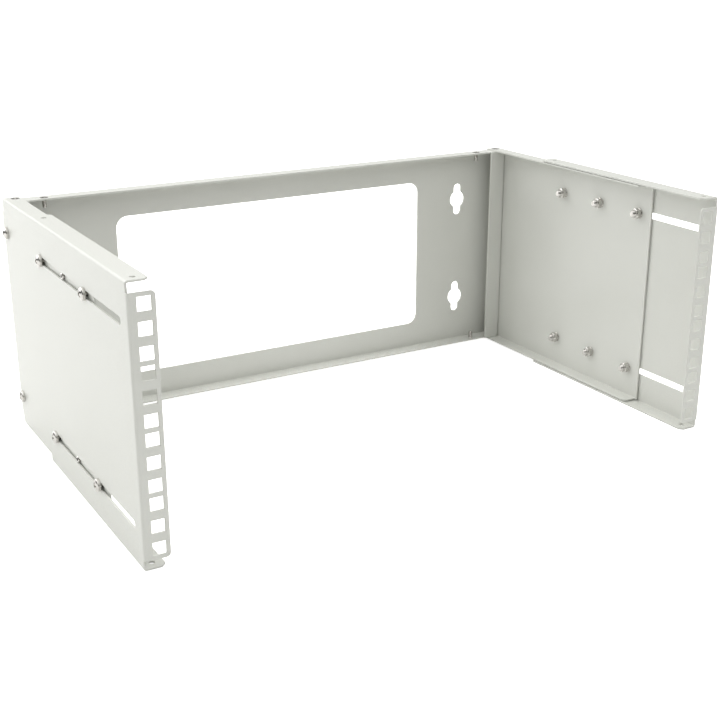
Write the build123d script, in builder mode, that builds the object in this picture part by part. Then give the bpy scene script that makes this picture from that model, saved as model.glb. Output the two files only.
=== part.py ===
from build123d import *
import os

# Wall mount open frame rack, four rack units high, with two side plates that slide on it.
# Sizes are in millimetres. The origin is the middle of the face that lies on the wall:
# +X is to the right seen from the front, +Y points into the wall and +Z is up.
# The side plates are drawn pulled fully out. Each side piece is built on the right and mirrored.

# Sheet steel
sheet = 1.5
bend_inside = 0.5
bend_outside = bend_inside + sheet

# Rack opening and rails, to the 19 inch standard: each rack unit is one rail pitch, with three holes
rail_pitch = 44.45
pitch_count = 4
hole_drops = (6.35, 22.225, 38.1)
rack_opening = 450.0
rail_hole_inset = 7.55
square_hole = 9.5
rail_width = 18.5
rail_margin = 1.3
rail_corner = 3.0

# Sliding side plates
extended_depth = 292.0
slide_rear_margin = 17.25
slide_flange = 16.0
flange_to_rail_gap = 7.55
slide_front_chamfer = 3.2
slide_rear_chamfer = 2.5
slot_height = 5.6
slot_from_front = 13.8
slot_stop_gap = 0.3
flange_hole = 4.0
flange_hole_inset = 7.9
flange_hole_from_front = 9.2
flange_hole_from_rear = 9.4

# Side brackets, inside the slide plates
slide_gap = 0.5
bracket_length = 221.8
bracket_flange = 13.5
bracket_flange_setback = 1.8
bracket_chamfer = 3.0
bracket_notch_depth = 2.5
bracket_notch_height = 10.75

# Back frame, with a folded post at each end
post_depth = 16.5
post_lip = 16.7
post_lip_gap = 0.25
lip_to_flange_gap = 0.3
window_side_margin = 90.5
window_end_margin = 24.5
window_corner = 10.0
keyhole_side_inset = 45.0
keyhole_end_inset = 45.25
keyhole_circle = 16.0
keyhole_neck = 8.0
keyhole_length = 30.0

# Screw places, measured from the edges of the sheets that they go through
clamp_front_inset = 14.8
clamp_spacing = 99.0
clamp_row_inset = 28.55
washer_to_lip_gap = 1.1
corner_screw_inset = 8.5
flange_screw_inset = 31.3

# M5 fasteners
m5_shank = 4.9
m5_thread_showing = 2.5
m5_clearance_hole = 5.5
m5_tapped_hole = 5.0
m5_point = 0.5
pan_head = 9.5
pan_head_height = 3.7
pan_head_side = 2.1
pan_recess = 5.0
pan_recess_depth = 2.2
recess_wing = 1.2
socket_across_flats = 2.5
socket_depth = 2.4
washer_outside = 9.0
washer_bore = 5.3
washer_thickness = 1.0
nut_across_flats = 8.0
nut_hex_height = 3.8
nut_collar = 6.8
nut_collar_height = 1.2

# M4 countersunk screws
m4_shank = 3.9
m4_length = 8.0
m4_tapped_hole = 4.1
m4_point = 0.4
countersunk_head = 7.0
countersink = 7.1
countersink_angle = 90
countersunk_recess = 4.0
countersunk_recess_depth = 1.4

# Places that follow from the sizes above
rail_top = pitch_count * rail_pitch / 2
rail_height = 2 * (rail_top + rail_margin)
half_width = rack_opening / 2 + rail_width
half_height = rail_height / 2 + flange_to_rail_gap
rail_front = -extended_depth
bracket_half_width = half_width - sheet - slide_gap
bracket_half_height = half_height - sheet - slide_gap
frame_half_width = bracket_half_width - sheet
frame_half_height = bracket_half_height - sheet
back_flange = post_depth - sheet - lip_to_flange_gap
bracket_front = -bracket_length
clamp_row = half_height - clamp_row_inset
clamp_rows = (clamp_row, -clamp_row)
clamp_front = bracket_front + clamp_front_inset
clamp_rear = clamp_front + clamp_spacing
guide_place = (clamp_front + clamp_rear) / 2
slot_front = rail_front + slot_from_front
slot_rear = clamp_rear + m5_shank / 2 + slot_stop_gap
slide_rear = slot_rear + slide_rear_margin
screw_line = -(post_depth - sheet - washer_to_lip_gap - washer_outside / 2)
nut_height = nut_hex_height + nut_collar_height
m5_length = 2 * sheet + slide_gap + washer_thickness + nut_height + m5_thread_showing
corner_screw_x = bracket_half_width - corner_screw_inset
flange_screw_x = bracket_half_width - flange_screw_inset


def fold(*outside):
    """Fill the section of a bent sheet, from the outside line of its folds, drawn clockwise."""
    with BuildLine() as bent_line:
        FilletPolyline(*outside, radius=bend_outside)
        offset(amount=sheet, side=Side.RIGHT)
    make_face(bent_line.edges())


def fold_channel(back, flange, height):
    """Fill the section of a channel, from the place of its back, its flanges' width and its half height."""
    fold((back - flange, height), (back, height), (back, -height), (back - flange, -height))


def facing_right(x, *places):
    """Planes that look along +X, one at each place along the depth on each of the clamp screws' rows."""
    return [Plane(origin=(x, y, z), z_dir=(1, 0, 0)) for y in places for z in clamp_rows]


def facing_outwards(x, height):
    """Planes on the top and bottom flanges, looking outwards, where a countersunk screw goes in."""
    top = Plane(origin=(x, screw_line, height), z_dir=(0, 0, 1))
    bottom = Plane(origin=(x, screw_line, -height), z_dir=(0, 0, -1))
    return [top, bottom]


def write(piece, name):
    """Name a finished piece and write it to its own file."""
    piece.part.label = name
    export_step(piece.part, f"parts/{name}.step")


def write_pair(right, name):
    """Write a right-hand piece, and its mirror image for the left-hand side."""
    with BuildPart() as left:
        mirror(right.part, about=Plane.YZ)
    write(right, f"right_{name}")
    write(left, f"left_{name}")


def slide_plate():
    """Sliding side plate: a side face with two flanges and the rack rail folded from one sheet."""
    with BuildPart() as plate:
        with BuildSketch(Plane.XZ.offset(-slide_rear)):
            fold_channel(half_width, slide_flange, half_height)
        extrude(amount=slide_rear - rail_front - bend_outside)
        corners = plate.edges().filter_by(Axis.Z).group_by(Axis.X)[0].group_by(Axis.Y)
        chamfer(corners[0], length=slide_front_chamfer)
        chamfer(corners[-1], length=slide_rear_chamfer)

        # Rack rail along the front edge, with its square holes
        with BuildSketch(Plane.XY):
            fold(
                (half_width, rail_front + bend_outside + sheet),
                (half_width, rail_front),
                (half_width - rail_width, rail_front),
            )
        extrude(amount=rail_height / 2, both=True)
        fillet(plate.edges().filter_by(Axis.Y).group_by(Axis.X)[0], radius=rail_corner)
        rail_hole_x = rack_opening / 2 + rail_hole_inset
        unit_tops = [rail_top - unit * rail_pitch for unit in range(pitch_count)]
        with BuildSketch(Plane.XZ.offset(-rail_front)):
            with Locations(*[(rail_hole_x, top - drop) for top in unit_tops for drop in hole_drops]):
                Rectangle(square_hole, square_hole)
        extrude(amount=-sheet, mode=Mode.SUBTRACT)

        # Slots that run along the clamp screws
        with BuildSketch(Plane.YZ.offset(half_width)):
            with Locations(*[((slot_front + slot_rear) / 2, row) for row in clamp_rows]):
                SlotOverall(slot_rear - slot_front, slot_height)
        extrude(amount=-sheet, mode=Mode.SUBTRACT)

        # Round holes through both flanges
        with BuildSketch(Plane.XY):
            hole_x = half_width - flange_hole_inset
            with Locations(
                (hole_x, rail_front + flange_hole_from_front),
                (hole_x, slide_rear - flange_hole_from_rear),
            ):
                Circle(flange_hole / 2)
        extrude(amount=half_height, both=True, mode=Mode.SUBTRACT)
    return plate


def side_bracket():
    """Bracket that stands out from the back frame and carries the slide plate."""
    with BuildPart() as bracket:
        with BuildSketch(Plane.XZ):
            fold_channel(bracket_half_width, bracket_flange, bracket_half_height)
        extrude(amount=bracket_length)

        # Flanges stop short of the front edge, with their free corner cut off
        flange_edge = bracket_half_width - bracket_flange
        flange_root = bracket_half_width - bend_outside
        flange_front = bracket_front + bracket_flange_setback
        with BuildSketch(Plane.XY):
            with BuildLine():
                Polyline(
                    (flange_edge, bracket_front),
                    (flange_root, bracket_front),
                    (flange_root, flange_front),
                    (flange_edge + bracket_chamfer, flange_front),
                    (flange_edge, flange_front + bracket_chamfer),
                    close=True,
                )
            make_face()
        extrude(amount=bracket_half_height, both=True, mode=Mode.SUBTRACT)

        # Rear corners set back from the wall
        for level in (bracket_half_height, -bracket_half_height):
            with BuildSketch(Plane.XZ):
                with Locations((bracket_half_width, level)):
                    Rectangle(2 * bracket_flange, 2 * bracket_notch_height)
            extrude(amount=bracket_notch_depth, mode=Mode.SUBTRACT)

        # Screw holes in the side face, and countersunk holes in the flanges
        with Locations(*facing_right(bracket_half_width, clamp_front, clamp_rear, screw_line)):
            Hole(m5_clearance_hole / 2, depth=sheet)
        with Locations(*facing_right(bracket_half_width, guide_place)):
            Hole(m5_tapped_hole / 2, depth=sheet)
        with Locations(*facing_outwards(corner_screw_x, bracket_half_height)):
            CounterSinkHole(m4_tapped_hole / 2, countersink / 2, sheet, countersink_angle)
    return bracket


def back_frame():
    """Back plate with a large window, folded over at its top, bottom and ends."""
    with BuildPart() as frame:
        # Plate with its top and bottom flanges, between the end folds
        with BuildSketch(Plane.YZ):
            fold_channel(0, back_flange, frame_half_height)
        extrude(amount=frame_half_width - bend_outside, both=True)

        # Post folded at each end, whose lip is a little taller than its other sides
        lip_edge = frame_half_width - post_lip
        post_line = [
            (lip_edge, 0),
            (frame_half_width, 0),
            (frame_half_width, -post_depth),
            (lip_edge, -post_depth),
        ]
        with BuildSketch(Plane.XY):
            fold(*post_line)
            fold(*[(-x, y) for x, y in reversed(post_line)])
        extrude(amount=frame_half_height - bend_outside, both=True)
        with BuildSketch(Plane.XZ.offset(post_depth)):
            with GridLocations(2 * frame_half_width - post_lip - bend_outside, 0, 2, 1):
                Rectangle(post_lip - bend_outside, 2 * (frame_half_height - post_lip_gap))
        extrude(amount=-sheet)

        # Window and the four double-ended keyholes for the wall screws
        with BuildSketch(Plane.XZ):
            RectangleRounded(
                2 * (frame_half_width - window_side_margin),
                2 * (frame_half_height - window_end_margin),
                window_corner,
            )
            keyhole_x = frame_half_width - keyhole_side_inset
            keyhole_z = frame_half_height - keyhole_end_inset
            with GridLocations(2 * keyhole_x, 2 * keyhole_z, 2, 2):
                Circle(keyhole_circle / 2)
                SlotOverall(keyhole_length, keyhole_neck, rotation=90)
        extrude(amount=sheet, mode=Mode.SUBTRACT)

        # Screw holes in the posts and in the flanges
        with Locations(*facing_right(frame_half_width, screw_line)):
            Hole(m5_clearance_hole / 2, depth=2 * frame_half_width)
        for end in (1, -1):
            with Locations(*facing_outwards(end * corner_screw_x, frame_half_height)):
                Hole(m4_tapped_hole / 2, depth=sheet)
            with Locations(*facing_outwards(end * flange_screw_x, frame_half_height)):
                CounterSinkHole(m4_tapped_hole / 2, countersink / 2, sheet, countersink_angle)
    return frame


def cut_cross(top, width, depth):
    """Cut the screwdriver's cross recess down into the screw being built."""
    with BuildSketch(Plane.XY.offset(top)) as cross:
        Rectangle(width, recess_wing)
        Rectangle(recess_wing, width)
    extrude(cross.sketch, amount=-depth, mode=Mode.SUBTRACT)


def pan_screw():
    """M5 pan head screw, pointing down, with the underside of its head on the XY plane."""
    crown = pan_head_height - pan_head_side
    crown_radius = ((pan_head / 2) ** 2 + crown**2) / (2 * crown)
    with BuildPart() as screw:
        with BuildSketch(Plane.XZ):
            with BuildLine():
                Polyline(
                    (0, pan_head_height),
                    (0, -m5_length),
                    (m5_shank / 2 - m5_point, -m5_length),
                    (m5_shank / 2, -m5_length + m5_point),
                    (m5_shank / 2, 0),
                    (pan_head / 2, 0),
                    (pan_head / 2, pan_head_side),
                )
                RadiusArc((pan_head / 2, pan_head_side), (0, pan_head_height), -crown_radius)
            make_face()
        revolve(axis=Axis.Z)
        cut_cross(pan_head_height, pan_recess, pan_recess_depth)
    return screw


def set_screw():
    """M5 set screw that guides the slot, pointing down, with its socket end on the XY plane."""
    with BuildPart() as screw:
        with BuildSketch(Plane.XY):
            Circle(m5_shank / 2)
        extrude(amount=-m5_length)
        chamfer(screw.faces().sort_by(Axis.Z)[0].edges(), length=m5_point)
        with BuildSketch(Plane.XY):
            RegularPolygon(socket_across_flats / 2, side_count=6, major_radius=False)
        extrude(amount=-socket_depth, mode=Mode.SUBTRACT)
    return screw


def countersunk_screw():
    """M4 countersunk screw, pointing down, with the flat top of its head on the XY plane."""
    with BuildPart() as screw:
        cone = (countersunk_head - m4_shank) / 2
        with BuildSketch(Plane.XZ):
            with BuildLine():
                Polyline(
                    (0, 0),
                    (0, -m4_length),
                    (m4_shank / 2 - m4_point, -m4_length),
                    (m4_shank / 2, -m4_length + m4_point),
                    (m4_shank / 2, -cone),
                    (countersunk_head / 2, 0),
                    close=True,
                )
            make_face()
        revolve(axis=Axis.Z)
        cut_cross(0, countersunk_recess, countersunk_recess_depth)
    return screw


def washer():
    """Flat washer that hangs down from the XY plane."""
    with BuildPart() as ring:
        with BuildSketch(Plane.XY):
            Circle(washer_outside / 2)
            Circle(washer_bore / 2, mode=Mode.SUBTRACT)
        extrude(amount=-washer_thickness)
    return ring


def lock_nut():
    """M5 lock nut that hangs down from the XY plane: a hexagon with its round collar below."""
    with BuildPart() as nut:
        with BuildSketch(Plane.XY):
            RegularPolygon(nut_across_flats / 2, side_count=6, major_radius=False)
        extrude(amount=-nut_hex_height)
        with BuildSketch(Plane.XY.offset(-nut_hex_height)):
            Circle(nut_collar / 2)
        extrude(amount=-nut_collar_height)
        with BuildSketch(Plane.XY):
            Circle(m5_tapped_hole / 2)
        extrude(amount=-nut_height, mode=Mode.SUBTRACT)
    return nut


def set_of(piece, places):
    """Copies of one fastener, one on each plane."""
    with BuildPart() as copies:
        with Locations(*places):
            add(piece.part)
    return copies


def fasten(name, screw, head_face, nut_face, *places):
    """Screws through the side faces at some places along the depth, each with its washer and lock nut."""
    write_pair(set_of(screw, facing_right(head_face, *places)), f"{name}_screws")
    write_pair(set_of(washer(), facing_right(nut_face, *places)), f"{name}_washers")
    write_pair(set_of(lock_nut(), facing_right(nut_face - washer_thickness, *places)), f"{name}_nuts")


os.makedirs("parts", exist_ok=True)
write(back_frame(), "back_frame")
write_pair(side_bracket(), "bracket")
write_pair(slide_plate(), "slide_plate")
fasten("clamp", pan_screw(), half_width, frame_half_width, clamp_front, clamp_rear)
fasten("guide", set_screw(), half_width, frame_half_width, guide_place)
fasten("rear", pan_screw(), bracket_half_width, frame_half_width - sheet, screw_line)
write_pair(set_of(countersunk_screw(), facing_outwards(corner_screw_x, bracket_half_height)), "corner_screws")
write_pair(set_of(countersunk_screw(), facing_outwards(flange_screw_x, frame_half_height)), "flange_screws")
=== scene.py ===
"""Looks of a wall mount open frame rack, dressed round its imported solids.

Each of the five folded sheets becomes a copy of its solid with its sheared edges rounded, under a fine satin
powder coat. Every screw, nut and washer is replaced by a turned piece with its thread, recess, chamfers or
plastic ring, in bright zinc. Lengths are in metres. +X is to the right seen from the front, +Y points into
the wall and +Z is up.
"""

import logging
import math
from dataclasses import dataclass
from enum import Enum

import bmesh
import bpy
import numpy as np
from mathutils import Matrix, Vector


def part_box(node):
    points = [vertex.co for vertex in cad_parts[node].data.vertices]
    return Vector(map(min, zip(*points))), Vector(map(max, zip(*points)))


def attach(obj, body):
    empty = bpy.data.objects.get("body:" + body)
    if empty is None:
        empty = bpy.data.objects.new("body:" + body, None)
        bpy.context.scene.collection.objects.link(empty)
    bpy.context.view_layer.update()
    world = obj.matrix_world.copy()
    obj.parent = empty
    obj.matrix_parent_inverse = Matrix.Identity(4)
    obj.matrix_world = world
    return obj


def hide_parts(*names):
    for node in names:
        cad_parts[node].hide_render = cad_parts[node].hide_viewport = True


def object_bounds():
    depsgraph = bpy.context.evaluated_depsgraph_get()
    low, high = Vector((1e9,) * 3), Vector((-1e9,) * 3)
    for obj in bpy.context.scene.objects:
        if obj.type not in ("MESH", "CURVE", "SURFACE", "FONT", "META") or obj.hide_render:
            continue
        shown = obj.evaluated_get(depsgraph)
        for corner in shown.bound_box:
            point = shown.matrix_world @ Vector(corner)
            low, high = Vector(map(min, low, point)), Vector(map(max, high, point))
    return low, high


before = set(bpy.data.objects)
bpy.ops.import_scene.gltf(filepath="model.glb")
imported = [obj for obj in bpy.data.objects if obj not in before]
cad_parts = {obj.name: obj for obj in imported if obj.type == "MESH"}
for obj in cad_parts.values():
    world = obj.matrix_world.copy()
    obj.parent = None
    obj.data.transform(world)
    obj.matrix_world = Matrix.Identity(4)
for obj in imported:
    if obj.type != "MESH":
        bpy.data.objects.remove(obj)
cad_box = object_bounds()

MM = 0.001
GOLDEN_TURN = math.pi * (3 - math.sqrt(5))
SHARP_ANGLE = math.radians(38)

# The attribute that tells how far along its turned profile a point is.
ALONG = "along_profile"

# How much of the paint's relief is fine grain, and where noise has most of its values.
GRAIN_SHARE = 0.22
NOISE_RANGE = (0.3, 0.7)

# The body that each folded sheet moves with.
SHEET_BODIES = {
    "back_frame": "frame",
    "left_bracket": "frame",
    "right_bracket": "frame",
    "left_slide_plate": "left_slide",
    "right_slide_plate": "right_slide",
}

Triple = tuple[float, float, float]
Array = np.ndarray
Material = bpy.types.Material
Tree = bpy.types.NodeTree
Node = bpy.types.Node
Socket = bpy.types.NodeSocket

log = logging.getLogger("rack")


class Facing(Enum):
    """Where a fastener's own +Z axis points, as the rows that its own X, Y and Z axes become."""

    RIGHT = ((0, 1, 0), (0, 0, 1), (1, 0, 0))
    LEFT = ((0, -1, 0), (0, 0, 1), (-1, 0, 0))
    UP = ((1, 0, 0), (0, 1, 0), (0, 0, 1))
    DOWN = ((1, 0, 0), (0, -1, 0), (0, 0, -1))

    def place(self, points: Array, seat: Vector, turn: float) -> Array:
        """Turn points about their own Z axis, face them this way and move them to their seat.

        Args:
            points: One row for each point, in the fastener's own axes.
            seat: Where the fastener's own origin goes.
            turn: Angle about its own Z axis, in radians.

        Returns:
            The placed points, one row each.
        """
        cosine, sine = math.cos(turn), math.sin(turn)
        spin = np.array(((cosine, sine, 0), (-sine, cosine, 0), (0, 0, 1)))
        return points @ spin @ np.array(self.value, float) + np.array(seat)


@dataclass
class Shape:
    """A closed surface: points, quads or triangles, how far along the profile each point is, and finishes."""

    points: Array
    faces: list[Array]
    along: Array
    finishes: list[Array]


def ring_quads(first: Array, second: Array) -> Array:
    """Quads between two rings of point numbers, facing away from the axis where the second ring is lower.

    Args:
        first: Point numbers of one ring, anticlockwise seen from above.
        second: As many point numbers of the next ring.

    Returns:
        One row of four point numbers for each quad.
    """
    return np.stack([first, second, np.roll(second, -1), np.roll(first, -1)], axis=-1)


def rings_from(profile: Array, angles: Array) -> Array:
    """Carry a profile round an axis.

    Each point is (r·cos a, r·sin a, z), where r and z come from the profile's row, either the same all round
    or one value for each angle.

    Args:
        profile: Radii and heights, shaped rings by 2, or rings by 2 by angles.
        angles: The angle of each point of a ring.

    Returns:
        The points, shaped rings by angles by 3.
    """
    shape = (len(profile), len(angles))
    radius = np.broadcast_to(profile[:, 0].reshape(len(profile), -1), shape)
    height = np.broadcast_to(profile[:, 1].reshape(len(profile), -1), shape)
    return np.stack([radius * np.cos(angles), radius * np.sin(angles), height], axis=-1)


def profile_lengths(rings: Array) -> Array:
    """Distance along the profile of each ring: the running sum of the steps at the first angle."""
    steps = np.linalg.norm(np.diff(rings[:, 0], axis=0), axis=-1)
    return np.concatenate([[0.0], np.cumsum(steps)])


def closed_ring(rings: Array, finish_of_band: Array | None = None) -> Shape:
    """Join rings into a closed loop round a hole, the last one to the first.

    Args:
        rings: Points shaped rings by angles by 3, down the outside and up the inside.
        finish_of_band: Number of the finish of the band below each ring, or None where there is one finish.

    Returns:
        The closed surface.
    """
    count, around, _ = rings.shape
    numbers = np.arange(count * around).reshape(count, around)
    faces = np.concatenate([ring_quads(numbers[k], numbers[(k + 1) % count]) for k in range(count)])
    bands = np.zeros(count, int) if finish_of_band is None else finish_of_band
    along = np.repeat(profile_lengths(rings), around)
    return Shape(rings.reshape(-1, 3), [faces], along, [np.repeat(bands, around)])


def capped_screw(top: Array, top_quads: Array, rim: Array, rings: Array) -> Shape:
    """Join a screw's top disc to the rings below it, and close its tip with triangles to one point.

    Args:
        top: Points of the top disc.
        top_quads: Quads of the top disc.
        rim: Point numbers of the top disc's rim, anticlockwise seen from above.
        rings: Points of the rings below, shaped rings by rim points by 3, the last one at the tip.

    Returns:
        The closed surface.
    """
    around = len(rim)
    numbers = np.arange(len(rings) * around).reshape(len(rings), around) + len(top)
    loops = np.concatenate([rim[None], numbers])
    sides = np.concatenate([ring_quads(a, b) for a, b in zip(loops[:-1], loops[1:])])
    tip = np.full(around, len(top) + rings.shape[0] * around)
    cap = np.stack([loops[-1], tip, np.roll(loops[-1], -1)], axis=-1)
    middle = rings[-1].mean(axis=0, keepdims=True)
    lengths = profile_lengths(np.concatenate([top[rim][None], rings]))
    rim_radius = np.linalg.norm(top[rim], axis=-1).mean()
    along = np.concatenate([
        np.linalg.norm(top[:, :2], axis=-1),
        np.repeat(rim_radius + lengths[1:], around),
        [rim_radius + lengths[-1]],
    ])
    points = np.concatenate([top, rings.reshape(-1, 3), middle])
    faces = [np.concatenate([top_quads, sides]), cap]
    return Shape(points, faces, along, [np.zeros(len(part), int) for part in faces])


@dataclass(frozen=True)
class Thread:
    """A right-hand outside thread of trapezium section."""

    major: float
    pitch: float
    depth: float
    tip_bevel: float
    rows_per_turn: int = 8
    crest_share: float = 0.125
    root_share: float = 0.75

    def rings(self, start: float, end: float, angles: Array) -> Array:
        """Rings down a threaded shank.

        The ridge is 1 on the crest and 0 in the root, and is read from how far the height, less the helix's
        rise of one pitch a turn, is through its pitch. The radius is the major radius less the depth times
        (1 - ridge), and no more than the bevel's cone at the tip allows. The thread fades in over one pitch.

        Args:
            start: Height where the thread starts, under the head.
            end: Height of the tip, lower than start.
            angles: The angle of each point of a ring.

        Returns:
            The points, shaped rings by angles by 3.
        """
        rows = int(round((start - end) / self.pitch * self.rows_per_turn)) + 1
        height = np.linspace(start, end, rows)[:, None]
        phase = np.mod(height / self.pitch - angles / (2 * math.pi), 1.0)
        from_crest = np.abs(2 * phase - 1)
        slope = self.root_share - self.crest_share
        ridge = np.clip((self.root_share - from_crest) / slope, 0, 1)
        fade = np.clip((start - height) / self.pitch, 0, 1)
        radius = self.major - self.depth * (1 - ridge) * fade
        radius = np.minimum(radius, self.major - self.tip_bevel + (height - end))
        profile = np.stack([radius, np.broadcast_to(height, radius.shape)], axis=1)
        return rings_from(profile, angles)


@dataclass(frozen=True)
class CrossRecess:
    """A screwdriver's cross, with sloping walls and wings that rise towards their ends."""

    half_wing: float
    reach: float
    depth: float
    wall: float = 0.12 * MM
    slope: float = 1.0 * MM

    def lines(self, radius: float) -> Array:
        """Grid lines for a disc, which run along the edges of the wings.

        Args:
            radius: The disc's radius.

        Returns:
            Where the lines cross the square's side, from -1 to 1.
        """
        ramp = self.reach - self.slope
        half = np.array([
            self.half_wing / 2, self.half_wing, self.half_wing + self.wall, (ramp + self.half_wing) / 2, ramp,
            self.reach - self.slope / 2, self.reach, (self.reach + radius) / 2, radius,
        ]) / radius
        return np.concatenate([-half[::-1], [0.0], half])

    def depth_at(self, x: Array, y: Array) -> Array:
        """Depth of the recess below the head's surface.

        One wing is the product of two ramps, each held between 0 and 1: across it, from the wing's edge to
        the top of its wall, and along it, from its end over the length of its slope. The cross is the
        deeper of the two wings.

        Args:
            x: Distances along the first wing.
            y: Distances along the second wing.

        Returns:
            The depth at each point.
        """
        across = [np.clip((self.half_wing + self.wall - np.abs(t)) / self.wall, 0, 1) for t in (y, x)]
        along = [np.clip((self.reach - np.abs(t)) / self.slope, 0, 1) for t in (x, y)]
        return self.depth * np.maximum(across[0] * along[0], across[1] * along[1])

    def disc(self, radius: float) -> tuple[Array, Array, Array, Array]:
        """A screw's flat top with this recess in it.

        A square's grid is bent to a disc, so that its lines stay nearly straight in the middle. The point
        (a, b), each from -1 to 1, goes to (a·root(1 - b²/2), b·root(1 - a²/2)), times the radius.

        Args:
            radius: The disc's radius.

        Returns:
            The points, the quads, the rim's point numbers anticlockwise, and the angle of each rim point.
        """
        lines = self.lines(radius)
        square = np.stack(np.meshgrid(lines, lines, indexing="ij"), axis=-1).reshape(-1, 2)
        numbers = np.arange(len(square)).reshape(len(lines), len(lines))
        corners = (numbers[:-1, :-1], numbers[1:, :-1], numbers[1:, 1:], numbers[:-1, 1:])
        quads = np.stack(corners, axis=-1).reshape(-1, 4)
        rim = np.concatenate([numbers[:-1, 0], numbers[-1, :-1], numbers[:0:-1, -1], numbers[0, :0:-1]])
        flat = square * np.sqrt(1 - square[:, ::-1] ** 2 / 2) * radius
        top = np.column_stack([flat, -self.depth_at(*(square * radius).T)])
        return top, quads, rim, np.arctan2(flat[rim, 1], flat[rim, 0])


@dataclass(frozen=True)
class PanHeadScrew:
    """M5 pan head screw. Its own origin is the middle of the underside of its head."""

    thread: Thread = Thread(2.45 * MM, 0.8 * MM, 0.42 * MM, 0.5 * MM)
    recess: CrossRecess = CrossRecess(0.55 * MM, 2.5 * MM, 2.0 * MM)
    length: float = 12.0 * MM
    head_radius: float = 4.75 * MM
    head_height: float = 3.7 * MM
    side_height: float = 2.1 * MM
    disc_radius: float = 4.3 * MM
    edge: float = 0.15 * MM
    shoulder_rows: int = 5

    def crown(self, distance: Array) -> Array:
        """Height of the head's top, on a ball through its rim and its middle.

        The ball's radius is (head radius² + rise²) over twice the rise.

        Args:
            distance: Distances from the head's axis.

        Returns:
            The height at each distance.
        """
        rise = self.head_height - self.side_height
        ball = (self.head_radius**2 + rise**2) / (2 * rise)
        return self.head_height - ball + np.sqrt(ball**2 - distance**2)

    def shape(self) -> Shape:
        """The whole screw: a crown with its cross, a rounded side, a flat underside and a threaded shank.

        The shoulder is a quarter of an ellipse from the crown's disc to the head's side.

        Returns:
            The closed surface.
        """
        top, quads, rim, angles = self.recess.disc(self.disc_radius)
        top[:, 2] += self.crown(np.linalg.norm(top[:, :2], axis=-1))
        shoulder = np.linspace(0, math.pi / 2, self.shoulder_rows)[1:]
        inset = self.head_radius - self.disc_radius
        foot = self.side_height - 2 * self.edge
        drop = float(self.crown(np.array(self.disc_radius))) - self.side_height + 2 * self.edge
        side = [(self.disc_radius + inset * math.sin(a), foot + drop * math.cos(a)) for a in shoulder]
        side += [(self.head_radius, self.edge), (self.head_radius - self.edge, 0.0)]
        side += [(self.thread.major + self.edge, 0.0)]
        head = rings_from(np.array(side), angles)
        shank = self.thread.rings(-self.edge, -self.length, angles)
        return capped_screw(top, quads, rim, np.concatenate([head, shank]))


@dataclass(frozen=True)
class CountersunkScrew:
    """M4 countersunk screw. Its own origin is the middle of the flat top of its head."""

    thread: Thread = Thread(1.95 * MM, 0.7 * MM, 0.36 * MM, 0.4 * MM)
    recess: CrossRecess = CrossRecess(0.42 * MM, 2.0 * MM, 1.4 * MM, slope=0.8 * MM)
    length: float = 8.0 * MM
    head_radius: float = 3.5 * MM
    rim_height: float = 0.12 * MM
    edge: float = 0.1 * MM

    def shape(self) -> Shape:
        """The whole screw: a flat top with its cross, a thin rim, a cone and a threaded shank.

        The cone's radius falls by as much as its height, down to the thread's major radius.

        Returns:
            The closed surface.
        """
        top, quads, rim, angles = self.recess.disc(self.head_radius - self.edge)
        cone = self.head_radius - self.thread.major
        side = np.array([
            (self.head_radius, -self.edge),
            (self.head_radius - self.rim_height, -self.edge - self.rim_height),
            (self.thread.major, -cone),
        ])
        shank = self.thread.rings(-cone - self.edge, -self.length, angles)
        return capped_screw(top, quads, rim, np.concatenate([rings_from(side, angles), shank]))


def even_angles(count: int) -> Array:
    """Evenly spaced angles of a full turn."""
    return np.arange(count) * (2 * math.pi / count)


def hexagon(across_flats: float, angles: Array) -> Array:
    """Distance from a hexagon's middle to its side: half the flats over the cosine of the angle to the flat.

    Args:
        across_flats: Distance between two opposite flats.
        angles: The angles to measure at.

    Returns:
        The distance at each angle.
    """
    sector = math.pi / 3
    from_flat = np.mod(angles + sector / 2, sector) - sector / 2
    return across_flats / 2 / np.cos(from_flat)


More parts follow.
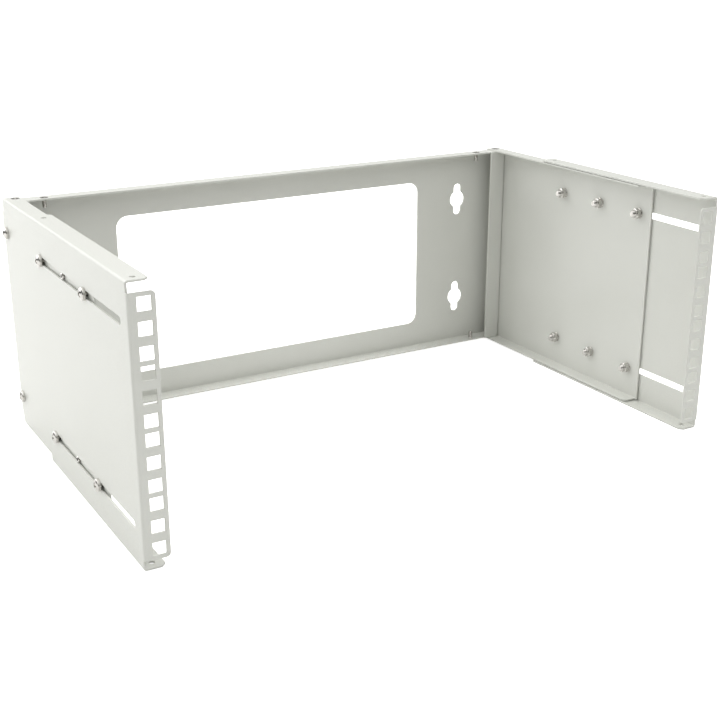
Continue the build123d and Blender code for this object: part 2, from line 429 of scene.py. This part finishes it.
@dataclass(frozen=True)
class SocketSetScrew:
    """M5 set screw. Its own origin is the middle of the end that has the socket."""

    thread: Thread = Thread(2.45 * MM, 0.8 * MM, 0.42 * MM, 0.5 * MM)
    length: float = 12.0 * MM
    socket: float = 2.5 * MM
    socket_depth: float = 2.4 * MM
    drill_point: float = 0.5 * MM
    bevel: float = 0.35 * MM
    mouth_share: float = 0.2
    around: int = 48

    def shape(self) -> Shape:
        """The whole screw: a hexagon socket with a conical floor, a bevelled end, and a thread to the tip.

        The floor's cone is half as wide as the socket where it has gone half its way down.

        Returns:
            The closed surface.
        """
        angles = even_angles(self.around)
        socket = hexagon(self.socket, angles)
        level = np.ones_like(angles)
        mouth = self.bevel * self.mouth_share
        rows = [
            (socket / 2, -(self.socket_depth + self.drill_point / 2) * level),
            (socket, -self.socket_depth * level),
            (socket, -mouth * level),
            (socket + mouth, 0 * level),
            ((self.thread.major - self.bevel) * level, 0 * level),
            (self.thread.major * level, -self.bevel * level),
        ]
        rings = rings_from(np.array(rows), angles)
        floor = np.array([[0.0, 0.0, -self.socket_depth - self.drill_point]])
        first_row = self.thread.pitch / self.thread.rows_per_turn
        shank = self.thread.rings(-self.bevel - first_row, -self.length, angles)
        rings = np.concatenate([rings, shank])
        numbers = np.arange(len(rings) * self.around).reshape(len(rings), self.around)
        sides = np.concatenate([ring_quads(a, b) for a, b in zip(numbers[:-1], numbers[1:])])
        last = rings.shape[0] * self.around
        tip = np.full(self.around, last)
        middle = np.full(self.around, last + 1)
        cap = np.stack([numbers[-1], tip, np.roll(numbers[-1], -1)], axis=-1)
        base = np.stack([numbers[0], np.roll(numbers[0], -1), middle], axis=-1)
        end = rings[-1].mean(axis=0, keepdims=True)
        points = np.concatenate([rings.reshape(-1, 3), end, floor])
        along = np.concatenate([np.repeat(profile_lengths(rings), self.around), [0.0, 0.0]])
        faces = [sides, np.concatenate([cap, base])]
        return Shape(points, faces, along, [np.zeros(len(part), int) for part in faces])


@dataclass(frozen=True)
class FlatWasher:
    """Stamped washer. Its own origin is the middle of the face that lies on the sheet; it rises along +Z."""

    outside: float = 4.5 * MM
    bore: float = 2.65 * MM
    thickness: float = 1.0 * MM
    rollover: float = 0.16 * MM
    rollover_rows: int = 4
    around: int = 56

    def shape(self) -> Shape:
        """A ring whose outer top edge is rolled over by the press and whose other edges are just broken.

        The rolled edge is a quarter circle, and the broken ones are flats a third as wide.

        Returns:
            The closed surface.
        """
        side, top = self.outside - self.rollover, self.thickness - self.rollover
        rolled = [
            (side + self.rollover * math.sin(a), top + self.rollover * math.cos(a))
            for a in np.linspace(0, math.pi / 2, self.rollover_rows)
        ]
        broken = self.rollover / 3
        rest = [
            (self.outside, broken),
            (self.outside - broken, 0.0),
            (self.bore + broken, 0.0),
            (self.bore, broken),
            (self.bore, self.thickness - broken),
            (self.bore + broken, self.thickness),
        ]
        return closed_ring(rings_from(np.array(rolled + rest), even_angles(self.around)))


@dataclass(frozen=True)
class LockNut:
    """M5 lock nut. Its own origin is the middle of the face that lies on the washer; it rises along +Z."""

    across_flats: float = 8.0 * MM
    hexagon_height: float = 3.8 * MM
    height: float = 5.0 * MM
    collar: float = 3.4 * MM
    collar_wall: float = 0.42 * MM
    bore: float = 2.5 * MM
    chamfer_slope: float = math.tan(math.radians(30))
    circle_share: float = 0.96
    corner_start: float = 0.02 * MM
    corner_rise: float = 0.15 * MM
    corner_width: float = 0.17 * MM
    bore_chamfer: float = 0.3 * MM
    insert_drop: float = 0.22 * MM
    insert_bevel: float = 0.12 * MM
    curl_rows: int = 7
    around: int = 72

    def shape(self) -> Shape:
        """A hexagon with turned chamfers, a collar curled over at its rim, a plastic ring and the bore.

        The chamfers lower the hexagon's end by the slope times how far the side is outside the chamfer's
        circle, which is a little inside the flats. The curl is half a circle across the collar's wall.

        Returns:
            The closed surface, with finish 1 on the plastic ring.
        """
        angles = even_angles(self.around)
        level = np.ones_like(angles)
        sides = hexagon(self.across_flats, angles)
        circle = self.across_flats / 2 * self.circle_share
        cut = (sides - circle) * self.chamfer_slope
        inner = self.collar - self.collar_wall
        curl = self.collar_wall / 2
        lip = [
            (self.collar - curl * (1 - math.cos(a)), self.height - curl * (1 - math.sin(a)))
            for a in np.linspace(0, math.pi, self.curl_rows)
        ]
        insert_top = self.height - self.insert_drop
        rows = [(radius * level, z * level) for radius, z in reversed(lip)]
        rows += [
            ((self.collar + self.corner_start) * level, (self.hexagon_height + self.corner_rise) * level),
            ((self.collar + self.corner_width) * level, self.hexagon_height * level),
            (circle * level, self.hexagon_height * level),
            (sides, self.hexagon_height - cut),
            (sides, cut),
            (circle * level, 0 * level),
            ((self.bore + self.bore_chamfer) * level, 0 * level),
            (self.bore * level, self.bore_chamfer * level),
            (self.bore * level, (self.height - 2 * self.insert_drop) * level),
            ((self.bore + self.insert_bevel) * level, insert_top * level),
            (inner * level, insert_top * level),
        ]
        finish = np.zeros(len(rows), int)
        finish[-3:-1] = 1
        return closed_ring(rings_from(np.array(rows), angles), finish)


def new_object(name: str, data: bpy.types.ID) -> bpy.types.Object:
    """Make an object at the origin and put it into the scene.

    Args:
        name: The object's name.
        data: Its mesh, lamp or camera.

    Returns:
        The object.
    """
    made = bpy.data.objects.new(name, data)
    bpy.context.scene.collection.objects.link(made)
    return made


def noise(tree: Tree, scale: float = 1.0, detail: float = 2.0, roughness: float = 0.5) -> Node:
    """Add a noise texture to a node tree.

    Args:
        tree: The node tree to add to.
        scale: How many times the noise repeats in a metre.
        detail: How many finer layers it has.
        roughness: How strong the finer layers are.

    Returns:
        The texture's node.
    """
    texture = tree.nodes.new("ShaderNodeTexNoise")
    texture.inputs["Scale"].default_value = scale
    texture.inputs["Detail"].default_value = detail
    texture.inputs["Roughness"].default_value = roughness
    return texture


def new_group(name: str, given: dict[str, str], made: tuple[str, ...]) -> tuple[Tree, Node, Node]:
    """Make a node group with its sockets.

    Args:
        name: The group's name.
        given: The kind of each input by its name, Float or Vector.
        made: The names of the outputs, which are all numbers.

    Returns:
        The group, the node that has its inputs and the node that has its outputs.
    """
    group = bpy.data.node_groups.new(name, "ShaderNodeTree")
    for socket, kind in given.items():
        group.interface.new_socket(socket, in_out="INPUT", socket_type=f"NodeSocket{kind}")
    for socket in made:
        group.interface.new_socket(socket, in_out="OUTPUT", socket_type="NodeSocketFloat")
    return group, group.nodes.new("NodeGroupInput"), group.nodes.new("NodeGroupOutput")


def paint_grain_group() -> Tree:
    """Group for a sprayed and baked coat: orange peel, fine grain and slow changes of tone.

    The height is the peel plus a share of the grain.

    Returns:
        A node group with inputs Vector, Peel Scale and Grain Scale, and outputs Height, Tone and Patch.
    """
    inputs = {"Vector": "Vector", "Peel Scale": "Float", "Grain Scale": "Float"}
    group, given, made = new_group("coat_grain", inputs, ("Height", "Tone", "Patch"))
    links = group.links
    peel, grain = noise(group), noise(group, detail=3, roughness=0.6)
    patch = noise(group, scale=9.0, detail=3, roughness=0.55)
    for texture in (peel, grain, patch):
        links.new(given.outputs["Vector"], texture.inputs["Vector"])
    links.new(given.outputs["Peel Scale"], peel.inputs["Scale"])
    links.new(given.outputs["Grain Scale"], grain.inputs["Scale"])
    blend = group.nodes.new("ShaderNodeMath")
    blend.operation = "MULTIPLY_ADD"
    blend.inputs[1].default_value = GRAIN_SHARE
    links.new(grain.outputs["Fac"], blend.inputs[0])
    links.new(peel.outputs["Fac"], blend.inputs[2])
    links.new(blend.outputs[0], made.inputs["Height"])
    links.new(grain.outputs["Fac"], made.inputs["Tone"])
    links.new(patch.outputs["Fac"], made.inputs["Patch"])
    return group


def turned_group() -> Tree:
    """Group for plated, turned metal: rings of tool marks, and the plating's cloudy tone.

    Returns:
        A node group with inputs Along, Vector and Ring Scale, and outputs Rings and Cloud.
    """
    inputs = {"Along": "Float", "Vector": "Vector", "Ring Scale": "Float"}
    group, given, made = new_group("turned_marks", inputs, ("Rings", "Cloud"))
    links = group.links
    rings, cloud = noise(group, roughness=0.7), noise(group, scale=420, detail=3, roughness=0.6)
    rings.noise_dimensions = "1D"
    links.new(given.outputs["Along"], rings.inputs["W"])
    links.new(given.outputs["Ring Scale"], rings.inputs["Scale"])
    links.new(given.outputs["Vector"], cloud.inputs["Vector"])
    links.new(rings.outputs["Fac"], made.inputs["Rings"])
    links.new(cloud.outputs["Fac"], made.inputs["Cloud"])
    return group


def new_material(name: str) -> tuple[Material, Node]:
    """Make an empty node material.

    Args:
        name: The material's name.

    Returns:
        The material and its Principled shader.
    """
    material = bpy.data.materials.new(name)
    material.use_nodes = True
    return material, material.node_tree.nodes["Principled BSDF"]


def mapped(
    tree: Tree, source: Socket, given: tuple[float, float], made: tuple[float, float], soft: bool = False
) -> Socket:
    """Map one range of values on to another, held at its ends.

    Args:
        tree: The node tree to add to.
        source: The values.
        given: The two ends of the range that counts.
        made: What the two ends become.
        soft: Whether the change starts and ends gently.

    Returns:
        The socket with the mapped values.
    """
    node = tree.nodes.new("ShaderNodeMapRange")
    if soft:
        node.interpolation_type = "SMOOTHSTEP"
    for name, value in zip(("From Min", "From Max", "To Min", "To Max"), (*given, *made)):
        node.inputs[name].default_value = value
    tree.links.new(source, node.inputs["Value"])
    return node.outputs["Result"]


def joined(tree: Tree, operation: str, first: Socket, second: Socket) -> Socket:
    """Join two values by a Math node.

    Args:
        tree: The node tree to add to.
        operation: The node's operation, such as ADD or MAXIMUM.
        first: The first value.
        second: The second value.

    Returns:
        The socket with the result.
    """
    node = tree.nodes.new("ShaderNodeMath")
    node.operation = operation
    tree.links.new(first, node.inputs[0])
    tree.links.new(second, node.inputs[1])
    return node.outputs[0]


def placed_pattern(tree: Tree, group: Tree, scales: dict[str, float]) -> Node:
    """Put a shared pattern into a material, on the piece's own coordinates.

    Args:
        tree: The material's node tree.
        group: The shared pattern.
        scales: The value of each of the pattern's scales.

    Returns:
        The pattern's node.
    """
    pattern = tree.nodes.new("ShaderNodeGroup")
    pattern.node_tree = group
    for name, value in scales.items():
        pattern.inputs[name].default_value = value
    place = tree.nodes.new("ShaderNodeTexCoord")
    tree.links.new(place.outputs["Object"], pattern.inputs["Vector"])
    return pattern


def raise_surface(tree: Tree, shader: Node, height: Socket, distance: float, strength: float) -> None:
    """Give a shader the relief of a pattern.

    Args:
        tree: The material's node tree.
        shader: The material's Principled shader.
        height: The pattern's height.
        distance: The height of the relief.
        strength: How much of it counts.
    """
    bump = tree.nodes.new("ShaderNodeBump")
    bump.inputs["Distance"].default_value = distance
    bump.inputs["Strength"].default_value = strength
    tree.links.new(height, bump.inputs["Height"])
    tree.links.new(bump.outputs["Normal"], shader.inputs["Normal"])


def mixed_colour(tree: Tree, mask: Socket, first: Triple, second: Triple) -> Socket:
    """Mix two colours by a mask.

    Args:
        tree: The node tree to add to.
        mask: 0 gives the first colour and 1 the second.
        first: Red, green and blue.
        second: Red, green and blue.

    Returns:
        The socket that gives the mixed colour.
    """
    mix = tree.nodes.new("ShaderNodeMix")
    mix.data_type = "RGBA"
    mix.inputs["A"].default_value = (*first, 1)
    mix.inputs["B"].default_value = (*second, 1)
    tree.links.new(mask, mix.inputs["Factor"])
    return mix.outputs["Result"]


@dataclass(frozen=True)
class PowderCoat:
    """Satin light grey powder coat, baked on to the sheet, with fine orange peel."""

    colour: Triple = (0.655, 0.662, 0.622)
    darker: Triple = (0.637, 0.644, 0.602)
    gloss_low: float = 0.25
    gloss_high: float = 0.33
    peel_scale: float = 620.0
    grain_scale: float = 2600.0
    peel_height: float = 0.018 * MM
    peel_strength: float = 0.6

    def material(self, grain: Tree) -> Material:
        """Build the coat's material.

        Args:
            grain: The shared coat grain group.

        Returns:
            The material.
        """
        material, shader = new_material("light_grey_powder_coat")
        tree = material.node_tree
        scales = {"Peel Scale": self.peel_scale, "Grain Scale": self.grain_scale}
        pattern = placed_pattern(tree, grain, scales)
        tone = mapped(tree, pattern.outputs["Patch"], NOISE_RANGE, (0.0, 1.0))
        tree.links.new(mixed_colour(tree, tone, self.colour, self.darker), shader.inputs["Base Color"])
        rough = mapped(tree, pattern.outputs["Tone"], NOISE_RANGE, (self.gloss_low, self.gloss_high))
        tree.links.new(rough, shader.inputs["Roughness"])
        raise_surface(tree, shader, pattern.outputs["Height"], self.peel_height, self.peel_strength)
        return material


@dataclass(frozen=True)
class BrightZinc:
    """Bright zinc plate on turned steel, with rings of tool marks."""

    colour: Triple = (0.68, 0.67, 0.65)
    stain: Triple = (0.55, 0.53, 0.50)
    gloss_low: float = 0.08
    gloss_high: float = 0.22
    ring_scale: float = 9000.0
    ring_height: float = 0.004 * MM
    ring_strength: float = 0.5

    def material(self, marks: Tree) -> Material:
        """Build the plating's material.

        Args:
            marks: The shared turned marks group.

        Returns:
            The material.
        """
        material, shader = new_material("bright_zinc")
        tree = material.node_tree
        shader.inputs["Metallic"].default_value = 1.0
        pattern = placed_pattern(tree, marks, {"Ring Scale": self.ring_scale})
        along = tree.nodes.new("ShaderNodeAttribute")
        along.attribute_name = ALONG
        tree.links.new(along.outputs["Fac"], pattern.inputs["Along"])
        cloud = mapped(tree, pattern.outputs["Cloud"], NOISE_RANGE, (0.0, 1.0))
        tree.links.new(mixed_colour(tree, cloud, self.colour, self.stain), shader.inputs["Base Color"])
        rough = mapped(tree, pattern.outputs["Rings"], NOISE_RANGE, (self.gloss_low, self.gloss_high))
        tree.links.new(rough, shader.inputs["Roughness"])
        raise_surface(tree, shader, pattern.outputs["Rings"], self.ring_height, self.ring_strength)
        return material


@dataclass(frozen=True)
class NutRing:
    """The lock nut's plastic ring, off white and a little waxy."""

    colour: Triple = (0.50, 0.49, 0.45)
    darker: Triple = (0.42, 0.41, 0.37)
    roughness: float = 0.45
    waxiness: float = 0.15
    peel_scale: float = 900.0
    grain_scale: float = 5000.0

    def material(self, grain: Tree) -> Material:
        """Build the ring's material.

        Args:
            grain: The shared coat grain group.

        Returns:
            The material.
        """
        material, shader = new_material("nut_ring_plastic")
        tree = material.node_tree
        shader.inputs["Roughness"].default_value = self.roughness
        shader.inputs["Subsurface Weight"].default_value = self.waxiness
        shader.inputs["Subsurface Radius"].default_value = (MM, MM, MM)
        scales = {"Peel Scale": self.peel_scale, "Grain Scale": self.grain_scale}
        pattern = placed_pattern(tree, grain, scales)
        tone = mapped(tree, pattern.outputs["Tone"], NOISE_RANGE, (0.0, 1.0))
        tree.links.new(mixed_colour(tree, tone, self.colour, self.darker), shader.inputs["Base Color"])
        return material


@dataclass
class FoldedSheets:
    """The five folded sheets, each with its sheared edges softened as a baked coat softens them."""

    coat: Material
    edge_width: float = 0.22 * MM
    edge_segments: int = 3
    sharpest: float = math.radians(40)
    merge_distance: float = 0.002 * MM
    flat_within: float = math.radians(0.5)

    def soften(self, node: str, body: str) -> bpy.types.Object:
        """Copy a sheet, merge its points, join its flat faces and round its sheared edges.

        Args:
            node: The sheet's node.
            body: The body that it moves with.

        Returns:
            The finished sheet, which stands for the node.
        """
        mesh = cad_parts[node].data.copy()
        mesh.name = f"{node}_mesh"
        shell = bmesh.new()
        shell.from_mesh(mesh)
        bmesh.ops.remove_doubles(shell, verts=shell.verts, dist=self.merge_distance)
        bmesh.ops.dissolve_limit(shell, angle_limit=self.flat_within, verts=shell.verts, edges=shell.edges)
        shell.to_mesh(mesh)
        shell.free()
        mesh.polygons.foreach_set("use_smooth", np.ones(len(mesh.polygons), bool))
        mesh.materials.clear()
        mesh.materials.append(self.coat)
        piece = new_object(f"{node}_coated", mesh)
        rounded = piece.modifiers.new("coated_edges", "BEVEL")
        rounded.width = self.edge_width
        rounded.segments = self.edge_segments
        rounded.limit_method = "ANGLE"
        rounded.angle_limit = self.sharpest
        rounded.use_clamp_overlap = False
        rounded.harden_normals = True
        piece.modifiers.new("flat_shading", "WEIGHTED_NORMAL").keep_sharp = True
        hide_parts(node)
        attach(piece, body)
        return piece

    def dress(self) -> list[bpy.types.Object]:
        """Build every sheet and return them."""
        return [self.soften(node, body) for node, body in SHEET_BODIES.items()]


@dataclass
class FastenerSet:
    """Copies of one fastener that together stand for one node."""

    node: str
    shape: Shape
    facing: list[Facing]
    seats: list[Vector]
    materials: list[Material]
    first_turn: float = 0.0

    def build(self) -> bpy.types.Object:
        """Build all the copies as one mesh, and let it stand for the node.

        Returns:
            The finished piece.
        """
        count = len(self.shape.points)
        placed, faces, finishes = [], [], []
        for number, (facing, seat) in enumerate(zip(self.facing, self.seats)):
            turn = self.first_turn + number * GOLDEN_TURN
            placed.append(facing.place(self.shape.points, seat, turn))
            faces += [part + number * count for part in self.shape.faces]
            finishes += self.shape.finishes
        mesh = bpy.data.meshes.new(f"{self.node}_mesh")
        mesh.from_pydata(np.concatenate(placed), [], [face for part in faces for face in part.tolist()])
        mesh.polygons.foreach_set("material_index", np.concatenate(finishes))
        mesh.polygons.foreach_set("use_smooth", np.ones(len(mesh.polygons), bool))
        mesh.set_sharp_from_angle(angle=SHARP_ANGLE)
        along = mesh.attributes.new(ALONG, "FLOAT", "POINT")
        along.data.foreach_set("value", np.tile(self.shape.along, len(self.seats)).astype(np.float32))
        for material in self.materials:
            mesh.materials.append(material)
        piece = new_object(f"{self.node}_detailed", mesh)
        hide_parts(self.node)
        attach(piece, "frame")
        return piece


@dataclass
class Hardware:
    """All the screws, washers and lock nuts of both sides, each set placed by its own node's box."""

    zinc: Material
    ring: Material
    pan: PanHeadScrew = PanHeadScrew()
    countersunk: CountersunkScrew = CountersunkScrew()
    set_screw: SocketSetScrew = SocketSetScrew()
    washer: FlatWasher = FlatWasher()
    nut: LockNut = LockNut()

    @staticmethod
    def middles(low: float, high: float, half: float) -> list[float]:
        """Middles of the copies at both ends of a box side, or the one middle where the ends are one copy."""
        ends = (low + half, high - half)
        return [sum(ends) / 2] if abs(ends[1] - ends[0]) < half else list(ends)

    def across_side(
        self, node: str, shape: Shape, half: tuple[float, float], outward: Facing, reach: float | None = None
    ) -> FastenerSet:
        """Copies whose axes lie along X, at the depths and heights that the node's box gives.

        Args:
            node: The node that they stand for.
            shape: One copy's surface.
            half: Half of one copy's depth and half of its height.
            outward: Which way is out of the rack on this side.
            reach: Distance of the seat from the box's inner side, or None for its outer side.

        Returns:
            The set, ready to build, with screws facing outwards and washers and nuts inwards.
        """
        low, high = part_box(node)
        sign = outward.value[2][0]
        outer, inner = (high.x, low.x) if sign > 0 else (low.x, high.x)
        seat_x = outer if reach is None else inner + sign * reach
        depths = self.middles(low.y, high.y, half[0])
        heights = self.middles(low.z, high.z, half[1])
        seats = [Vector((seat_x, y, z)) for y in depths for z in heights]
        inward = Facing.LEFT if outward is Facing.RIGHT else Facing.RIGHT
        facing = outward if node.endswith("screws") else inward
        return FastenerSet(node, shape, [facing] * len(seats), seats, [self.zinc, self.ring])

    def through_side(self, side: str, outward: Facing) -> list[FastenerSet]:
        """The clamp, guide and rear screws of one side, with their washers and nuts.

        Args:
            side: The side's name, left or right.
            outward: Where the screws' heads point.

        Returns:
            The sets, ready to build.
        """
        pan, washer, nut = self.pan.shape(), self.washer.shape(), self.nut.shape()
        head, shank, ring = self.pan.head_radius, self.set_screw.thread.major, self.washer.outside
        flats, corners = self.nut.across_flats / 2, self.nut.across_flats / math.sqrt(3)
        sets = [
            self.across_side(f"{side}_{name}_screws", pan, (head, head), outward, self.pan.length)
            for name in ("clamp", "rear")
        ]
        set_screw = self.set_screw.shape()
        sets.append(self.across_side(f"{side}_guide_screws", set_screw, (shank, shank), outward))
        for name in ("clamp", "guide", "rear"):
            sets.append(self.across_side(f"{side}_{name}_washers", washer, (ring, ring), outward))
            sets.append(self.across_side(f"{side}_{name}_nuts", nut, (flats, corners), outward))
        return sets

    def through_flanges(self, side: str) -> list[FastenerSet]:
        """The countersunk screws of one side: one through each top flange and one through each bottom flange.

        Args:
            side: The side's name, left or right.

        Returns:
            The sets, ready to build.
        """
        shape = self.countersunk.shape()
        sets = []
        for name in ("corner", "flange"):
            low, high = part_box(f"{side}_{name}_screws")
            x, y = (low.x + high.x) / 2, (low.y + high.y) / 2
            seats = [Vector((x, y, high.z)), Vector((x, y, low.z))]
            facing = [Facing.UP, Facing.DOWN]
            finishes = [self.zinc, self.ring]
            sets.append(FastenerSet(f"{side}_{name}_screws", shape, facing, seats, finishes))
        return sets

    def build(self) -> list[bpy.types.Object]:
        """Build every set, each turned a little further than the one before.

        Returns:
            The pieces.
        """
        sets = self.through_side("left", Facing.LEFT) + self.through_side("right", Facing.RIGHT)
        sets += self.through_flanges("left") + self.through_flanges("right")
        for number, fasteners in enumerate(sets):
            fasteners.first_turn = number * GOLDEN_TURN / 2
        return [fasteners.build() for fasteners in sets]


@dataclass(frozen=True)
class Softbox:
    """A square soft lamp, with its power in watts."""

    name: str
    place: Triple
    size: float
    power: float

    def hang(self, aim: Triple) -> None:
        """Hang the lamp where it belongs.

        Args:
            aim: The place that it looks at.
        """
        light = bpy.data.lights.new(self.name, "AREA")
        light.size = self.size
        light.energy = self.power
        holder = new_object(self.name, light)
        holder.location = self.place
        look = Vector(aim) - Vector(self.place)
        holder.rotation_euler = look.to_track_quat("-Z", "Y").to_euler()


@dataclass(frozen=True)
class Glow:
    """Light from one side of the surroundings, brightest in its middle and soft at its edge.

    The edge is the cosine of the angle from the middle at which the light ends.
    """

    middle: Triple
    edge: float
    strength: float

    def towards(self, tree: Tree, direction: Socket) -> Socket:
        """Give the light's strength in a direction.

        Args:
            tree: The world's node tree.
            direction: The direction that is looked in.

        Returns:
            The socket with the strength.
        """
        nearness = tree.nodes.new("ShaderNodeVectorMath")
        nearness.operation = "DOT_PRODUCT"
        nearness.inputs[1].default_value = Vector(self.middle).normalized()
        tree.links.new(direction, nearness.inputs[0])
        return mapped(tree, nearness.outputs["Value"], (self.edge, 1.0), (0.0, self.strength), soft=True)


@dataclass
class Studio:
    """A pale floor, a sky and a backdrop that glow softly, four soft lamps and the camera."""

    floor_level: float
    floor_inside: float = 0.2
    floor_radius: float = 30.0
    floor_rings: int = 24
    floor_around: int = 96
    floor_tone: Triple = (0.86, 0.86, 0.85)
    mottle_scale: float = 3.0
    mottle_tone: float = 0.995
    floor_roughness: float = 0.9
    far_tone: Triple = (0.10, 0.10, 0.10)
    floor_drop: float = 0.3 * MM
    near_glow: float = 0.8
    bright_middle: tuple[float, float] = (0.0, -0.15)
    bright_radius: float = 1.1
    dark_radius: float = 2.6
    world_tone: Triple = (1.0, 1.0, 0.99)
    sky: Glow = Glow((0.0, 0.0, 1.0), 0.2, 1.9)
    backdrop: Glow = Glow((0.0, 1.0, 0.1), 0.3, 0.35)
    lamp_aim: Triple = (0.0, -0.15, 0.0)
    softboxes: tuple[Softbox, ...] = (
        Softbox("left_softbox", (-1.5, 1.2, 0.8), 1.2, 10.0),
        Softbox("top_softbox", (0.0, 0.9, 1.5), 1.6, 7.5),
        Softbox("right_softbox", (1.5, -1.5, 1.0), 1.2, 3.0),
        Softbox("rear_softbox", (-0.9, 1.8, 0.65), 1.4, 8.0),
    )
    camera_place: Triple = (-0.4696, -0.9600, 0.2914)
    camera_turn: float = math.radians(-30.24)
    camera_tilt: float = math.radians(90 - 19.76)
    lens: float = 60.37
    sensor: float = 36.0
    shift: tuple[float, float] = (-0.0044, 0.0117)
    sight: tuple[float, float] = (0.05, 200.0)

    def build_floor(self) -> None:
        """Lay the floor: a disc of rings whose radii grow evenly in proportion, from the middle outwards."""
        angles = even_angles(self.floor_around)
        radii = np.geomspace(self.floor_inside, self.floor_radius, self.floor_rings)
        level = np.full(self.floor_rings, self.floor_level - self.floor_drop)
        rings = rings_from(np.column_stack([radii, level]), angles)
        numbers = np.arange(self.floor_rings * self.floor_around).reshape(-1, self.floor_around)
        quads = np.concatenate([ring_quads(b, a) for a, b in zip(numbers[:-1], numbers[1:])])
        mesh = bpy.data.meshes.new("floor_mesh")
        mesh.from_pydata(rings.reshape(-1, 3), [], quads.tolist() + [numbers[0].tolist()])
        mesh.materials.append(self.floor_material())
        floor = new_object("studio_floor", mesh)

    def floor_material(self) -> Material:
        """Build the floor's material: pale and faintly mottled near the rack, and dark far away.

        Returns:
            The material.
        """
        material, shader = new_material("pale_floor")
        tree = material.node_tree
        place = tree.nodes.new("ShaderNodeTexCoord")
        mottle = noise(tree, self.mottle_scale)
        tree.links.new(place.outputs["Object"], mottle.inputs["Vector"])
        darker = tuple(value * self.mottle_tone for value in self.floor_tone)
        near = mixed_colour(tree, mottle.outputs["Fac"], self.floor_tone, darker)
        far = self.how_far(tree, place.outputs["Object"])
        colour = mixed_colour(tree, far, self.floor_tone, self.far_tone)
        tree.links.new(near, colour.node.inputs["A"])
        tree.links.new(colour, shader.inputs["Base Color"])
        shader.inputs["Roughness"].default_value = self.floor_roughness
        shader.inputs["Emission Strength"].default_value = 1.0
        tree.links.new(self.seen_glow(tree, far), shader.inputs["Emission Color"])
        return material

    def how_far(self, tree: Tree, place: Socket) -> Socket:
        """Give a mask that is 0 on the bright part of the floor and 1 on the dark floor beyond it.

        Args:
            tree: The floor's node tree.
            place: Where a point of the floor is.

        Returns:
            The socket with the mask.
        """
        distance = tree.nodes.new("ShaderNodeVectorMath")
        distance.operation = "DISTANCE"
        distance.inputs[1].default_value = (*self.bright_middle, self.floor_level)
        tree.links.new(place, distance.inputs[0])
        reach = (self.bright_radius, self.dark_radius)
        return mapped(tree, distance.outputs["Value"], reach, (0.0, 1.0), soft=True)

    def seen_glow(self, tree: Tree, far: Socket) -> Socket:
        """Give the brightness that lifts the floor to white when it is looked at, and that lights nothing.

        Args:
            tree: The floor's node tree.
            far: The mask of the dark floor.

        Returns:
            The socket with that brightness: a little less near the rack, and full far away.
        """
        rise = mapped(tree, far, (0.0, 1.0), (self.near_glow, 1.0))
        seen = tree.nodes.new("ShaderNodeLightPath")
        return joined(tree, "MULTIPLY", rise, seen.outputs["Is Camera Ray"])

    def build_light(self) -> None:
        """Set the sky and the backdrop, show the surroundings as white, and hang the lamps."""
        world = bpy.data.worlds.new("studio_world")
        world.use_nodes = True
        tree = world.node_tree
        background = tree.nodes["Background"]
        background.inputs["Color"].default_value = (*self.world_tone, 1)
        direction = tree.nodes.new("ShaderNodeTexCoord").outputs["Generated"]
        light = joined(tree, "ADD", self.sky.towards(tree, direction), self.backdrop.towards(tree, direction))
        seen = tree.nodes.new("ShaderNodeLightPath")
        shown = joined(tree, "MAXIMUM", light, seen.outputs["Is Camera Ray"])
        tree.links.new(shown, background.inputs["Strength"])
        bpy.context.scene.world = world
        for softbox in self.softboxes:
            softbox.hang(self.lamp_aim)

    def build_camera(self) -> None:
        """Put the camera where the photograph was taken from, turned to the right and tilted down."""
        data = bpy.data.cameras.new("photo_camera")
        data.lens = self.lens
        data.sensor_width = self.sensor
        data.shift_x, data.shift_y = self.shift
        data.clip_start, data.clip_end = self.sight
        camera = new_object("photo_camera", data)
        turn = Matrix.Rotation(self.camera_turn, 4, "Z") @ Matrix.Rotation(self.camera_tilt, 4, "X")
        camera.matrix_world = Matrix.Translation(self.camera_place) @ turn
        bpy.context.scene.camera = camera

    def build(self) -> None:
        """Build the whole studio and show colours as they are."""
        self.build_floor()
        self.build_light()
        self.build_camera()
        view = bpy.context.scene.view_settings
        view.view_transform = "Standard"
        view.look = "None"
        view.exposure = 0.0
        view.gamma = 1.0


def report(pieces: list[bpy.types.Object]) -> None:
    """Log the name and number of faces of each piece."""
    for piece in pieces:
        log.info("%s: %d faces", piece.name, len(piece.data.polygons))


def main() -> None:
    """Dress the sheets, build the hardware and the studio, and report each piece."""
    logging.basicConfig(level=logging.INFO, format="%(name)s: %(message)s")
    grain, marks = paint_grain_group(), turned_group()
    sheets = FoldedSheets(PowderCoat().material(grain))
    report(sheets.dress())
    hardware = Hardware(BrightZinc().material(marks), NutRing().material(grain))
    report(hardware.build())
    Studio(floor_level=cad_box[0].z).build()


if __name__ == "__main__":
    main()
